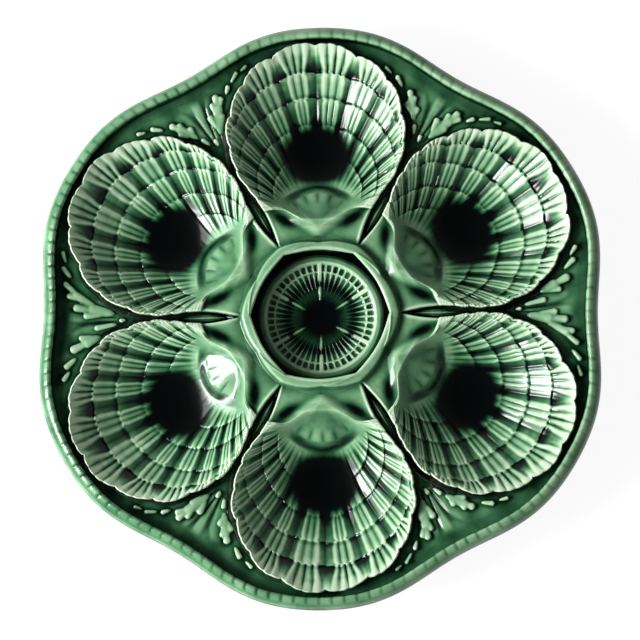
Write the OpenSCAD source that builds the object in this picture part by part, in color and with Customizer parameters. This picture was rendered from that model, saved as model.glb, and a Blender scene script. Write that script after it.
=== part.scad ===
// Glazed earthenware oyster plate with six scallop-shell wells round a centre cup.
// Origin at the centre of the plane that the foot ring rests on, +Z up, millimetres.
// The fired object is one piece. Each node is one feature of the moulded relief, and
// neighbouring features meet on upright walls.

/* [Shell wells] */
// Distance from the plate's centre to the point of each shell
apex_r = 36; // [35.6:0.1:37]
// Length of a shell from its point to its outer edge
shell_len = 79.5; // [76:0.5:84]
// Width of the groove between two shells where it is narrowest
neck_w = 2.4; // [1.6:0.1:3.2]
// Width of the slot beside the shoulders of two shells
slot_w = 6; // [5:0.1:6.6]
// Length of the straight flank from the point to the shoulder
flank_len = 19; // [18:0.1:19.4]
// Distance from the plate's centre to a shoulder, along the slot
shoulder_y = 49.9; // [49.6:0.1:51]
// Distance from the plate's centre to the deepest place of a well
well_r = 70; // [66:0.5:74]
// Height of a well's floor above the table
well_floor_z = 8.5; // [8.3:0.1:10]
// Height of a shell's outer edge
edge_out_z = 27; // [25:0.1:27.6]
// Height of a shell's edge beside its point
edge_in_z = 22; // [21.4:0.1:23]
// Height of the shell's point
apex_z = 22.4; // [21.6:0.1:23]
// Length of the smooth fan at the shell's point
fan_len = 21.5; // [19:0.1:23]
// Height of the fan's outer end
fan_z = 13.3; // [12.6:0.1:14.5]
// Height of a rib over the valleys beside it
rib_h = 0.9; // [0.2:0.1:1.4]
// Height of the step at each growth line
step_h = 0.7; // [0.2:0.1:1.2]

/* [Rim] */
// Width of the groove between the shells and the rim, at a lobe
groove_w = 2.3; // [1.6:0.1:4]
// Width of the rounded rim
rim_w = 4.8; // [4:0.1:6]
// Height of the rim's crest
rim_z = 29.4; // [28.6:0.1:32]
// How far the rim draws in between two lobes
lobe_h = 7.2; // [5:0.1:8]
// Extra fullness of each lobe's shoulders
lobe_full = 0.7; // [0:0.1:1]

/* [Ground and seaweed] */
// Height of the floor of the slots between the shells
slot_z = 17; // [16:0.1:17.6]
// Rise of the ground from the narrowest place to the rim
ground_rise = 7; // [6:0.1:8]
// Thickness of the plate's wall
wall = 4.5; // [4:0.1:5]
// Height of the tall leaves over the ground
leaf_h = 2; // [1:0.1:2.6]
// Height of the low middle frond over the ground
frond_h = 1.1; // [0.5:0.1:1.6]
// Height of a pod over the floor of its slot
pod_h = 2.4; // [1.4:0.1:3]
// Clear space between a pod and the walls of its slot
pod_gap = 0.9; // [0.7:0.1:1.3]

/* [Collar and cup] */
// Outer radius of the collar
collar_r = 34; // [33:0.1:34.6]
// Height of the collar where it meets the shells
collar_edge_z = 20.5; // [19.5:0.1:21]
// Height of the collar's crest
collar_z = 24; // [23:0.1:26]
// Width of the collar at the six corners of its opening
collar_w = 5; // [4.4:0.1:6]
// How far those corners lie outside the middles of the opening's sides
hex_bulge = 2.4; // [1:0.1:2.8]
// Width of the ledge between the opening's sides and the cup
ledge_w = 0.6; // [0.4:0.1:1]
// Width of the groove round the raised disc in the cup
disc_gap = 2; // [1.6:0.1:3]
// Height of the disc's edge
disc_z = 13; // [12.4:0.1:14.5]
// Height of the middle of the cup
cup_floor_z = 9.5; // [9:0.1:11]
// Height of the bottom of the groove round the disc
cup_groove_z = 11.2; // [10.6:0.1:12]
// Thickness of the flange that carries the collar
flange_h = 2.5; // [2:0.1:3]
// Width of that flange
flange_w = 3; // [2:0.1:4]

/* [Foot] */
// Radius of the middle of the foot ring
foot_r = 66; // [64:0.5:67]
// Width of the foot ring
foot_w = 5; // [4:0.1:5.6]
// Height of the foot ring
foot_h = 4; // [3:0.1:4.2]
// Rounding of the foot ring's lower edges
foot_round = 1.2; // [0.6:0.1:1.6]

/* [Hidden] */

glaze_mint = [0.62, 0.80, 0.64];
glaze_green = [0.24, 0.50, 0.33];
glaze_dark = [0.08, 0.22, 0.15];

shells = 6;
sector = 360 / shells;
half_sector = sector / 2;
// Turn of the first shell from +X, and the small turn of the relief inside the rim
first_angle = 30;
lean_angle = 1.8;
function axis_angle(i) = first_angle + sector * i;

// A shell's round outer part touches the slot's line at the narrowest place
shell_out = apex_r + shell_len;
round_r = (shell_out - neck_w) / 3;
round_x = shell_out - round_r;
neck_y = round_x * cos(half_sector);
neck_turn = 90 + half_sector;

// Rim and ground along the slot's line
rim_in_lobe = shell_out + groove_w;
field_len = rim_in_lobe - lobe_h - neck_y;
ground_slope = ground_rise / field_len;
function rim_in(a) =
    rim_in_lobe - lobe_h / 2 * (1 - cos(shells * a)) + lobe_full * (1 - cos(2 * shells * a));
function ground(y) = slot_z + ground_slope * max(0, y - neck_y);

// Shares by hand: columns are counted outward from the shell's axis, two to a rib
cols = 16;
round_cols = 11;
crowd_share = 0.4;
mid_bend_share = 0.5;
flank_angle = 57.6;
// Growth lines: share of the length on the axis, and the column where each meets the edge
line_shares = [0.44, 0.575, 0.71, 0.835];
line_end_cols = [22, 16, 11, 8];
fan_gain_share = 0.4;
drop_share = 0.012;
edge_gap_share = 0.03;
rows = 18;
under_cols = 4;
// How much of the fan's fall is curved, and the share of a rib's height on it
fan_curve_share = 0.13;
fan_rib_share = 0.3;

function polar(r, a) = [r * cos(a), r * sin(a)];
function mix(a, b, t) = a + (b - a) * t;
function side(c) = c < 0 ? -1 : 1;

// Half the slot's width at a distance along its line, from collar to shoulder to neck
tip_w = 1.2;
function slot_half(y) =
    y < shoulder_y
    ? mix(tip_w, slot_w, sin(90 * max(0, y - collar_r) / (shoulder_y - collar_r))) / 2
    : mix(slot_w, neck_w, (1 - cos(180 * min(1, (y - shoulder_y) / (neck_y - shoulder_y)))) / 2) / 2;

// A point beside the slot, given along its line and across towards the shell
function slot_point(y, d) =
    [y * cos(half_sector) + d * sin(half_sector), y * sin(half_sector) - d * cos(half_sector)];

// Plan of a shell with its axis on +X: outline point of column c
function outline_half(c) =
    c <= round_cols
    ? [round_x, 0] + polar(round_r, neck_turn * (c / round_cols) * (1 + crowd_share * (1 - c / round_cols)))
    : let (y = mix(neck_y, shoulder_y, (c - round_cols) / (cols - round_cols)))
        slot_point(y, slot_half(y));
function outline(c) = let (p = outline_half(abs(c))) [p.x, side(c) * p.y];

apex = [apex_r, 0];
shoulder_reach = norm(outline_half(cols) - apex);
flank_share = flank_len / shoulder_reach;
function rib_turn(c) = side(c) * flank_angle * sin(90 * abs(c) / cols);
function bend_at(c) = mix(mid_bend_share, flank_share, abs(c) / cols);
function bend_point(c) = apex + polar(bend_at(c) * norm(outline(c) - apex), rib_turn(c));
function column(c, t) =
    t < bend_at(c)
    ? mix(apex, bend_point(c), t / bend_at(c))
    : mix(bend_point(c), outline(c), (t - bend_at(c)) / (1 - bend_at(c)));

// Where the rows lie on a column: three on the fan, then three for each growth band
function fan_share(c) = fan_len / shell_len + fan_gain_share * pow(c / cols, 2);
function line_share(i, c) =
    i < 0 ? fan_share(c)
    : i > 3 ? 1
    : min(1 - edge_gap_share * (4 - i),
          1 - (1 - line_shares[i]) * (1 - pow(c / line_end_cols[i], 2)));
function band_share(band, part, c) =
    let (low = line_share(band - 1, c) + drop_share, high = line_share(band, c))
    [low, mix(low, high, 0.5), high][part];
function row_share(row, c) =
    row <= 3 ? fan_share(c) * row / 3 : band_share(floor((row - 4) / 3), (row - 4) % 3, c);

// Height of a well: a bowl round its deepest place, and the fan above it at the point
function bowl_z(p) =
    let (v = p - [well_r, 0], q = norm(v), turn = atan2(v.y, v.x), e = round_x - well_r,
         reach = e * cos(turn) + sqrt(pow(round_r, 2) - pow(e * sin(turn), 2)),
         rim = mix(edge_in_z, edge_out_z, (1 + cos(turn)) / 2))
    mix(well_floor_z, rim, pow(min(1, q / reach), 2));
function fan_height(p) =
    let (t = norm(p - apex) / fan_len)
    mix(apex_z, fan_z, mix(t, t * t, fan_curve_share));
function rib_z(row, c) =
    (c % 2 == 0 ? -0.5 : 0.5) * rib_h * (row == 0 ? 0 : row < 4 ? fan_rib_share : min(1, row / 9));
function step_z(row) = row < 4 || row == rows ? 0 : [-0.5, 0, 0.5][(row - 4) % 3] * step_h;
function shell_z(row, c, p) =
    (row < 4 ? max(bowl_z(p), fan_height(p)) : bowl_z(p)) + rib_z(row, abs(c)) + step_z(row);

// Underside: a wall's thickness below the ground or the well, and flat over the foot
land_margin = 4.8;
function on_land(r) = abs(r - foot_r) < foot_w / 2 + land_margin;
function web_under(r, y) = on_land(r) ? foot_h : ground(y) - wall;
function along_slot(p) = norm(p) * cos(half_sector - abs(atan2(p.y, p.x)));
function shell_under(p) =
    let (web = web_under(norm(p), along_slot(p)))
    on_land(norm(p)) ? foot_h : max(foot_h, min(web, bowl_z(p) - wall));

// Boundary of a shell from its point outward, as pairs mirrored in its axis
pairs = rows + cols - 1;
function pair_point(n, s) =
    n <= rows ? column(s * cols, row_share(n, cols)) : outline(s * (cols + rows - n));

// One shell. Columns run from one flank to the other, rows from the point outward.
module shell(i) {
    wide = 2 * cols + 1;
    top = [for (row = [1:rows]) for (c = [-cols:cols])
        let (p = column(c, row_share(row, abs(c)))) [p.x, p.y, shell_z(row, c, p)]];
    under = [for (n = [1:pairs])
        let (e = pair_point(n, 1), r = norm(e), a = atan2(e.y, e.x))
        for (m = [0:under_cols])
            let (p = polar(r, a * (2 * m / under_cols - 1)),
                 z = m == 0 || m == under_cols ? web_under(r, along_slot(p)) : shell_under(p))
            [p.x, p.y, z]];
    u0 = len(top);
    top_apex = u0 + len(under);
    low_apex = top_apex + 1;
    low_tip = top_apex + 2;
    tip = outline(0);
    points = concat(top, under, [
        [apex.x, apex.y, apex_z],
        [apex.x, apex.y, web_under(apex_r, along_slot(apex))],
        [tip.x, tip.y, web_under(norm(tip), along_slot(tip))]]);
    // Index of a boundary vertex above and below, n pairs out on side s
    function above(n, s) =
        n == 0 ? top_apex
        : n <= rows ? (n - 1) * wide + (s > 0 ? 2 * cols : 0)
        : n > pairs ? (rows - 1) * wide + cols
        : (rows - 1) * wide + cols + s * (cols + rows - n);
    function below(n, s) =
        n == 0 ? low_apex : n > pairs ? low_tip : u0 + (n - 1) * (under_cols + 1) + (s > 0 ? under_cols : 0);
    faces = concat(
        [for (c = [0:wide - 2]) [top_apex, c + 1, c]],
        [for (row = [0:rows - 2]) for (c = [0:wide - 2]) let (k = row * wide + c) each [
            [k, k + 1, k + wide + 1], [k, k + wide + 1, k + wide]]],
        [for (m = [0:under_cols - 1]) [low_apex, u0 + m, u0 + m + 1]],
        [for (n = [0:pairs - 2]) for (m = [0:under_cols - 1])
            let (k = u0 + n * (under_cols + 1) + m, up = k + under_cols + 1) each [
            [k, up, up + 1], [k, up + 1, k + 1]]],
        [for (m = [0:under_cols - 1]) let (k = u0 + (pairs - 1) * (under_cols + 1) + m) [k, low_tip, k + 1]],
        [for (n = [0:pairs]) each [
            [above(n, 1), below(n, 1), below(n + 1, 1)],
            [above(n, 1), below(n + 1, 1), above(n + 1, 1)],
            [above(n, -1), below(n + 1, -1), below(n, -1)],
            [above(n, -1), above(n + 1, -1), below(n + 1, -1)]]]);
    color(glaze_mint)
        rotate([0, 0, axis_angle(i) + lean_angle])
            polyhedron(points, [for (f = faces) if (f[0] != f[1] && f[1] != f[2] && f[0] != f[2]) f]);
}

// Rows of the body in one gap, outward: collar, the shell's point, flank, slot, round edge
flank_rows = 4;
body_cols = 8;
slot_bevel = 0.3;
ear_z = 21;
hollow_depth = 3;
body_rows = flank_rows + 2 + cols + 1;
function body_edge(n) =
    n == 0 ? polar(collar_r, 0)
    : n <= flank_rows + 1 ? mix(apex, bend_point(cols), (n - 1) / flank_rows)
    : outline(cols + flank_rows + 2 - n);
function edge_turn(n) = let (p = body_edge(n)) atan2(p.y, p.x);

// Angles across a gap from one shell to the next, seen from the slot's line
function gap_turn(n, m) =
    let (wide = half_sector - edge_turn(n), r = norm(body_edge(n)), s = m < 4 ? -1 : 1,
         lip = asin((slot_half(r) + slot_bevel) / r), base = asin((slot_half(r) - slot_bevel) / r))
    n == 0 || n > flank_rows + 1
    ? wide * (2 * m / body_cols - 1)
    : s * [0, base, lip, mix(lip, wide, 0.5), wide][abs(m - 4)];
function rim_pull(n) = max(0, (norm(body_edge(n)) - neck_y) / (shell_out - neck_y));
function body_r(i, n, m) =
    let (at = axis_angle(i) + half_sector + lean_angle, w = half_sector - edge_turn(n),
         here = rim_in(at + gap_turn(n, m) - first_angle),
         ends = mix(rim_in(at - w - first_angle), rim_in(at + w - first_angle), m / body_cols))
    norm(body_edge(n)) * (1 + rim_pull(n) * (here / ends - 1));
function body_z(n, m, r, turn) =
    n == 0 ? collar_edge_z
    : n <= flank_rows + 1
    ? [slot_z, slot_z, ear_z, ear_z - hollow_depth * sin(180 * (n - 1) / (flank_rows + 1)), ear_z][abs(m - 4)]
    : ground(r * cos(turn));

// The web between the shells, the slots with their ears, and the field out to the rim
module plate_body() {
    across = body_cols + 1;
    grid = [for (i = [0:shells - 1]) for (n = [0:body_rows - 1]) for (m = [0:body_cols])
        let (turn = gap_turn(n, m), r = body_r(i, n, m), at = axis_angle(i) + half_sector + lean_angle,
             p = polar(r, at + turn))
        [p.x, p.y, body_z(n, m, r, turn), web_under(norm(body_edge(n)), r * cos(turn))]];
    rim_steps = 2 * body_cols;
    rim_ring = [for (s = [0:shells * rim_steps - 1])
        let (a = first_angle + lean_angle + sector * s / rim_steps, r = rim_in(a - first_angle),
             p = polar(r, a), y = r * cos(half_sector - sector * (s % rim_steps) / rim_steps))
        [p.x, p.y, ground(y), ground(y) - wall]];
    all_points = concat(grid, rim_ring);
    total = len(all_points);
    ring0 = len(grid);
    // Vertices that two gaps share are taken from the gap that starts with them
    shared_rows = [0, 1, body_rows - 1];
    function at(i, n, m) =
        m == body_cols && len(search(n, shared_rows)) > 0
        ? at((i + 1) % shells, n, 0)
        : (i * body_rows + n) * across + m;
    function rim_at(i, s) = ring0 + (i * rim_steps + s) % (shells * rim_steps);
    upper = concat(
        [for (i = [0:shells - 1]) for (n = [0:body_rows - 2]) for (m = [0:body_cols - 1])
            each [[at(i, n, m), at(i, n, m + 1), at(i, n + 1, m + 1)],
                  [at(i, n, m), at(i, n + 1, m + 1), at(i, n + 1, m)]]],
        [for (i = [0:shells - 1]) for (m = [0:body_cols - 1])
            let (a = at(i, body_rows - 1, m), b = at(i, body_rows - 1, m + 1), s = 2 * m)
            each [[a, rim_at(i, s + 1), rim_at(i, s)],
                  [a, b, rim_at(i, s + 1)],
                  [b, rim_at(i, s + 2), rim_at(i, s + 1)]]]);
    walls = concat(
        [for (i = [0:shells - 1]) for (m = [0:body_cols - 1]) [at(i, 0, m + 1), at(i, 0, m)]],
        [for (i = [0:shells - 1]) for (n = [1:body_rows - 2]) each [
            [at(i, n, 0), at(i, n + 1, 0)], [at(i, n + 1, body_cols), at(i, n, body_cols)]]],
        [for (s = [0:shells * rim_steps - 1]) [ring0 + s, ring0 + (s + 1) % (shells * rim_steps)]]);
    color(glaze_green)
        polyhedron(
            concat([for (p = all_points) [p.x, p.y, p.z]], [for (p = all_points) [p.x, p.y, p[3]]]),
            concat(
                [for (f = upper) f],
                [for (f = upper) [f[0] + total, f[2] + total, f[1] + total]],
                [for (w = walls) each [[w[0], w[1], w[1] + total], [w[0], w[1] + total, w[0] + total]]]));
}

// A closed ring swept through stations, each a loop of points in order
module ring_of(stations) {
    around = len(stations);
    loop = len(stations[0]);
    points = [for (s = stations) for (p = s) p];
    function at(s, j) = (s % around) * loop + j % loop;
    polyhedron(points, [for (s = [0:around - 1]) for (j = [0:loop - 1]) each [
        [at(s, j), at(s, j + 1), at(s + 1, j + 1)], [at(s, j), at(s + 1, j + 1), at(s + 1, j)]]]);
}

// Rim section: shares of the rim's width and of its height over its underside
rim_shares = [[0, 0], [0, 0.62], [0.1, 0.84], [0.24, 0.97], [0.36, 1], [0.55, 0.95],
    [0.78, 0.78], [0.93, 0.56], [1, 0.32], [0.92, 0.12], [0.66, -0.02], [0.34, -0.05]];
module rim_band() {
    rim_steps = 2 * body_cols;
    color(glaze_green)
        ring_of([for (s = [0:shells * rim_steps - 1])
            let (a = first_angle + lean_angle + sector * s / rim_steps, r = rim_in(a - first_angle),
                 y = r * cos(half_sector - sector * (s % rim_steps) / rim_steps),
                 under = ground(y) - wall)
            [for (q = rim_shares) let (p = polar(r + q.x * rim_w, a)) [p.x, p.y, mix(under, rim_z, q.y)]]]);
}

// Six-sided opening with bulged sides, with the cup inside it and the disc inside the cup
hex_corner_r = collar_r - collar_w;
hex_mid_r = hex_corner_r - hex_bulge;
cup_r = hex_mid_r - ledge_w;
disc_r = cup_r - disc_gap;
function hex_r(a) =
    let (off = abs((a + half_sector) % sector - half_sector) / half_sector)
    mix(hex_mid_r, hex_corner_r, off * off);
lip_w = 1.4;
lip_drop = 0.9;
lip_shares = [0.85, 0.45];
flange_z = cup_groove_z - wall / 2 - flange_h;
module centre_collar() {
    stations = shells * body_cols;
    color(glaze_mint)
        ring_of([for (s = [0:stations - 1])
            let (turn = sector * s / body_cols, a = first_angle + lean_angle + turn, h = hex_r(turn),
                 crest = h + lip_w)
            [for (q = [
                [collar_r, slot_z - wall], [collar_r, collar_edge_z],
                [mix(crest, collar_r, lip_shares[0]), mix(collar_z, collar_edge_z, lip_shares[1])],
                [crest, collar_z], [h, collar_z - lip_drop], [h, cup_groove_z],
                [cup_r, cup_groove_z], [cup_r, flange_z + flange_h], [cup_r + flange_w, flange_z + flange_h]])
                let (p = polar(q[0], a)) [p.x, p.y, q[1]]]]);
}

// Cup with a raised disc that dips to the middle, and a flange under the collar
cup_steps = 64;
cup_wall = 3.6;
disc_round = 1;
// Shares of the disc's radius and of its rise, from the edge to the middle
disc_shares = [[0.75, 0.62], [0.5, 0.25]];
module centre_cup() {
    under_z = cup_floor_z - cup_wall;
    color(glaze_mint)
        rotate_extrude($fn = cup_steps)
            polygon([
                [0, under_z], [cup_r + flange_w, flange_z], [cup_r + flange_w, flange_z + flange_h],
                [cup_r, flange_z + flange_h], [cup_r, cup_groove_z], [disc_r + disc_round, cup_groove_z],
                [disc_r, disc_z], [disc_r - disc_round, disc_z + disc_round / 2],
                for (q = disc_shares) [disc_r * q[0], mix(cup_floor_z, disc_z, q[1])],
                [0, cup_floor_z]]);
}

// Ring that the plate stands on
foot_steps = 96;
module foot_ring() {
    color(glaze_dark)
        rotate_extrude($fn = foot_steps)
            translate([foot_r, 0])
                polygon([
                    [-foot_w / 2, foot_h], [-foot_w / 2, foot_round], [-foot_w / 2 + foot_round, 0],
                    [foot_w / 2 - foot_round, 0], [foot_w / 2, foot_round], [foot_w / 2, foot_h]]);
}

// Places a piece on the line of slot i, with +X outward
module in_gap(i) {
    rotate([0, 0, axis_angle(i) + half_sector + lean_angle]) children();
}

// Pod: pointed towards the collar, widest at the shoulders, with a narrow ridge
pod_collar_gap = 4.5;
pod_start = collar_r + pod_collar_gap;
pod_neck_gap = 5;
pod_len = neck_y - pod_neck_gap - pod_start;
pod_min_half = 0.25;
pod_shares = [0.04, 0.2, 0.4, 0.6, 0.78, 0.92, 1];
pod_height_shares = [0.6, 0.79, 0.99, 0.94, 0.74, 0.52, 0.4];
pod_width_shares = [1, 1, 1, 0.98, 0.9, 0.7, 0.5];
ridge_share = 0.45;
module stem(i) {
    loops = [for (k = [0:len(pod_shares) - 1])
        let (y = pod_start + pod_shares[k] * pod_len,
             w = max(pod_min_half, (slot_half(y) - pod_gap) * pod_width_shares[k]),
             h = pod_h * pod_height_shares[k])
        [[y, -w, slot_z], [y, w, slot_z],
         [y, w * ridge_share, slot_z + h], [y, -w * ridge_share, slot_z + h]]];
    n = len(loops);
    color(glaze_green)
        in_gap(i)
            polyhedron(
                [for (l = loops) each l],
                concat(
                    [[3, 2, 1, 0]],
                    [[4 * n - 4, 4 * n - 3, 4 * n - 2, 4 * n - 1]],
                    [for (k = [0:n - 2]) for (j = [0:3]) let (a = 4 * k + j, b = 4 * k + (j + 1) % 4) each [
                        [a, b, b + 4], [a, b + 4, a + 4]]]));
}

// Leaves, in shares of the field's length: base along and across, tip along and across, half width
leaf_shares = [
    [0.803, 0.470, 0.870, 0.585, 0.026], [0.744, 0.346, 0.841, 0.449, 0.028],
    [0.540, 0.138, 0.773, 0.296, 0.040], [0.560, 0.118, 0.695, 0.162, 0.030],
    [0.423, 0.054, 0.540, 0.070, 0.028], [0.394, -0.032, 0.511, -0.026, 0.024],
    [0.763, -0.345, 0.870, -0.437, 0.027], [0.870, -0.456, 0.929, -0.564, 0.022]];
tall_shares = [
    [0.481, -0.093, 0.734, -0.101, 0.040], [0.520, -0.100, 0.841, -0.250, 0.044],
    [0.680, -0.190, 0.783, -0.307, 0.030]];
split_shares = [
    [0.430, -0.040, 0.620, -0.050, 0.034], [0.470, -0.070, 0.735, -0.125, 0.046],
    [0.640, -0.170, 0.800, -0.250, 0.034], [0.700, -0.240, 0.850, -0.330, 0.032]];
frond_shares = [[0.520, 0.014, 0.850, 0.165, 0.060], [0.520, 0.010, 0.850, -0.040, 0.052]];
split_gaps = [2, 5];
leaf_base_share = 0.45;
tip_steps = 8;

function leaf_outline(q) =
    let (b = [neck_y + q[0] * field_len, q[1] * field_len], t = [neck_y + q[2] * field_len, q[3] * field_len],
         w = q[4] * field_len, a = atan2(t.y - b.y, t.x - b.x))
    concat([b + polar(w * leaf_base_share, a + 90), b + polar(w * leaf_base_share, a - 90)],
           [for (k = [0:tip_steps]) t + polar(w, a - 90 + 180 * k / tip_steps)]);

module leaves(table, height) {
    tilt = atan(ground_slope);
    // The outline is drawn in plan, so it is stretched along the slope before it is tilted
    translate([neck_y, 0, slot_z])
        rotate([0, -tilt, 0])
            linear_extrude(height)
                for (q = table)
                    polygon([for (p = leaf_outline(q)) [(p.x - neck_y) / cos(tilt), p.y]]);
}

module frond(i) {
    color(glaze_green)
        in_gap(i) {
            leaves(concat(leaf_shares, len(search(i, split_gaps)) > 0 ? split_shares : tall_shares), leaf_h);
            leaves(frond_shares, frond_h);
        }
}

plate_body();
rim_band();
centre_collar();
centre_cup();
foot_ring();
shell(0);  // shell_1
shell(1);  // shell_2
shell(2);  // shell_3
shell(3);  // shell_4
shell(4);  // shell_5
shell(5);  // shell_6
stem(0);  // stem_1
stem(1);  // stem_2
stem(2);  // stem_3
stem(3);  // stem_4
stem(4);  // stem_5
stem(5);  // stem_6
frond(0);  // frond_1
frond(1);  // frond_2
frond(2);  // frond_3
frond(3);  // frond_4
frond(4);  // frond_5
frond(5);  // frond_6
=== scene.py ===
"""Glazed oyster plate: the relief and its majolica glaze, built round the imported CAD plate."""

import bmesh
import bpy
import numpy as np
from mathutils import Matrix, Vector


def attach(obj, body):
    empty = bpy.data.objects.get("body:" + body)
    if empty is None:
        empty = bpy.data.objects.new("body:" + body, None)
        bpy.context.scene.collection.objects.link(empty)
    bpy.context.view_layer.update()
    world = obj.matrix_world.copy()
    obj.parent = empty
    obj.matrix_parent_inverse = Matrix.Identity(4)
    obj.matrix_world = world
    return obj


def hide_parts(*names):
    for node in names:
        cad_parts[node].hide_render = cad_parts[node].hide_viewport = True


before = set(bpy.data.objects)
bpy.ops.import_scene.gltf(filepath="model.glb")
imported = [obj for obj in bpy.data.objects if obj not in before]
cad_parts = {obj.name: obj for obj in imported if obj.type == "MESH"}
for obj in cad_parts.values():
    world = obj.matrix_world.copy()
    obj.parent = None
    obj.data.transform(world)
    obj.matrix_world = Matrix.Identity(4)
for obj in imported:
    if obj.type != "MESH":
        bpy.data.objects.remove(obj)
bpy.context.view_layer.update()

MM = 0.001

# Driving dimensions in millimetres and degrees, as on the CAD plate

SHELLS = 6
SECTOR = 360 / SHELLS
FIRST_ANGLE = 30
LEAN = 1.8
APEX_R = 36
SHELL_LEN = 79.5
NECK_W = 2.4
SLOT_W = 6
TIP_W = 1.2
FLANK_LEN = 19
FLANK_ANGLE = 57.6
SHOULDER_Y = 49.9
WELL_R = 70
WELL_FLOOR_Z = 8.5
EDGE_OUT_Z = 27
EDGE_IN_Z = 22
APEX_Z = 22.4
FAN_LEN = 21.5
RIM_W = 4.8
RIM_Z = 29.4
GROOVE_W = 2.3
LOBE_H = 7.2
LOBE_FULL = 0.7
SLOT_Z = 17
GROUND_RISE = 7
WALL = 4.5
EAR_Z = 21
COLLAR_R = 34
COLLAR_EDGE_Z = 20.5
HEX_MID_R = 27.3
HEX_CORNER_R = 29
CUP_R = 26
CUP_FLOOR_Z = 9.5
CUP_GROOVE_Z = 11.2
CUP_UNDER_Z = 5.9
FLANGE_W = 3
FLANGE_Z = 6.45
FLANGE_H = 2.5
FLANGE_TOP_Z = FLANGE_Z + FLANGE_H
FLANGE_OUT_R = CUP_R + FLANGE_W
DISC_R = 24
DISC_Z = 13
FOOT_R = 66
FOOT_W = 5
FOOT_H = 4
FOOT_ROUND = 1.2
LAND_MARGIN = 4.8
COLS = 16
ROUND_COLS = 11
CROWD = 0.4
MID_BEND = 0.5
LINE_ENDS = [22, 16, 11, 8]

# Close to the CAD plate's, whose fan ends less steeply and whose growth lines lie a little further in

FAN_Z = 12.3
FAN_CURVE = 0.45
LINE_SHARES = [0.455, 0.595, 0.732, 0.857]

SHELL_OUT = APEX_R + SHELL_LEN
ROUND_R = (SHELL_OUT - NECK_W) / 3
ROUND_X = SHELL_OUT - ROUND_R
HALF_SECTOR = SECTOR / 2


def cosd(a):
    return np.cos(np.radians(a))


def sind(a):
    return np.sin(np.radians(a))


def polar(r, a):
    return np.stack(np.broadcast_arrays(r * cosd(a), r * sind(a)), -1)


def mix(a, b, t):
    return a + (b - a) * t


def step(low, high, x):
    t = np.clip((x - low) / (high - low), 0, 1)
    return t * t * (3 - 2 * t)


def ridge(x, centre, width):
    return np.exp(-(((x - centre) / width) ** 2))


def norm(v):
    return np.linalg.norm(v, axis=-1)


NECK_Y = ROUND_X * cosd(HALF_SECTOR)
NECK_TURN = 90 + HALF_SECTOR
RIM_IN_LOBE = SHELL_OUT + GROOVE_W
FIELD_LEN = RIM_IN_LOBE - LOBE_H - NECK_Y
GROUND_SLOPE = GROUND_RISE / FIELD_LEN
APEX = np.array([APEX_R, 0.0])
WELL = np.array([WELL_R, 0.0])


def turned(points, angle):
    """Points (x, y, z) turned about the plate's axis."""
    out = np.array(points, float)
    x, y = out[..., 0].copy(), out[..., 1].copy()
    out[..., 0] = x * cosd(angle) - y * sind(angle)
    out[..., 1] = x * sind(angle) + y * cosd(angle)
    return out


def shell_angle(i):
    return FIRST_ANGLE + LEAN + SECTOR * i


def gap_angle(i):
    return shell_angle(i) + HALF_SECTOR


# Plan of the plate, as functions of arrays


def rim_in(turn):
    """Radius of the rim's inner line at an angle from a shell's axis. The rim's lobes don't lean."""
    a = turn + LEAN
    return RIM_IN_LOBE - LOBE_H / 2 * (1 - cosd(SHELLS * a)) + LOBE_FULL * (1 - cosd(2 * SHELLS * a))


def ground(y):
    return SLOT_Z + GROUND_SLOPE * np.maximum(0, y - NECK_Y)


def slot_half(y):
    inner = mix(TIP_W, SLOT_W, sind(90 * np.clip((y - COLLAR_R) / (SHOULDER_Y - COLLAR_R), 0, 1)))
    fall = (1 - cosd(180 * np.clip((y - SHOULDER_Y) / (NECK_Y - SHOULDER_Y), 0, 1))) / 2
    return np.where(y < SHOULDER_Y, inner, mix(SLOT_W, NECK_W, fall)) / 2


def outline(c):
    """Outline of a shell in its own frame, axis on +X, at column c."""
    a = np.abs(c)
    k = np.minimum(a / ROUND_COLS, 1)
    round_part = np.array([ROUND_X, 0]) + polar(ROUND_R, NECK_TURN * k * (1 + CROWD * (1 - k)))
    y = mix(NECK_Y, SHOULDER_Y, np.clip((a - ROUND_COLS) / (COLS - ROUND_COLS), 0, 1))
    d = slot_half(y)
    slot_part = np.stack(
        [y * cosd(HALF_SECTOR) + d * sind(HALF_SECTOR), y * sind(HALF_SECTOR) - d * cosd(HALF_SECTOR)], -1
    )
    p = np.where((a <= ROUND_COLS)[..., None], round_part, slot_part)
    p[..., 1] *= np.where(c < 0, -1, 1)
    return p


APEX_ROUND = 1.2
FLANK_SHARE = FLANK_LEN / norm(outline(np.array(float(COLS))) - APEX)
BEND_ROUND = 0.16


def column(c, t):
    """Plan point of a shell at column c and share t of the way from its point to its outline."""
    out = outline(c)
    reach = norm(out - APEX)
    share = mix(MID_BEND, FLANK_SHARE, np.abs(c) / COLS)
    turn = np.sign(c) * FLANK_ANGLE * sind(90 * np.abs(c) / COLS)
    bend = APEX + polar(share * reach, turn)
    low, high = share - BEND_ROUND, share + BEND_ROUND
    s = np.clip((t - low) / (2 * BEND_ROUND), 0, 1)[..., None]
    share, t, low, high = share[..., None], t[..., None], low[..., None], high[..., None]
    start = mix(APEX, bend, low / share)
    end = mix(bend, out, (high - share) / (1 - share))
    curve = (1 - s) ** 2 * start + 2 * s * (1 - s) * bend + s * s * end
    near = mix(APEX, bend, t / share)
    far = mix(bend, out, (t - share) / (1 - share))
    p = np.where(t < low, near, np.where(t > high, far, curve))
    flank_x = np.abs(p[..., 1]) / np.tan(np.radians(FLANK_ANGLE))
    push = np.sqrt(flank_x**2 + APEX_ROUND**2) - flank_x
    fade = np.exp(-(((p[..., 0] - APEX_R) / 7) ** 2))
    return p + np.stack([push * fade, 0 * push], -1)


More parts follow.
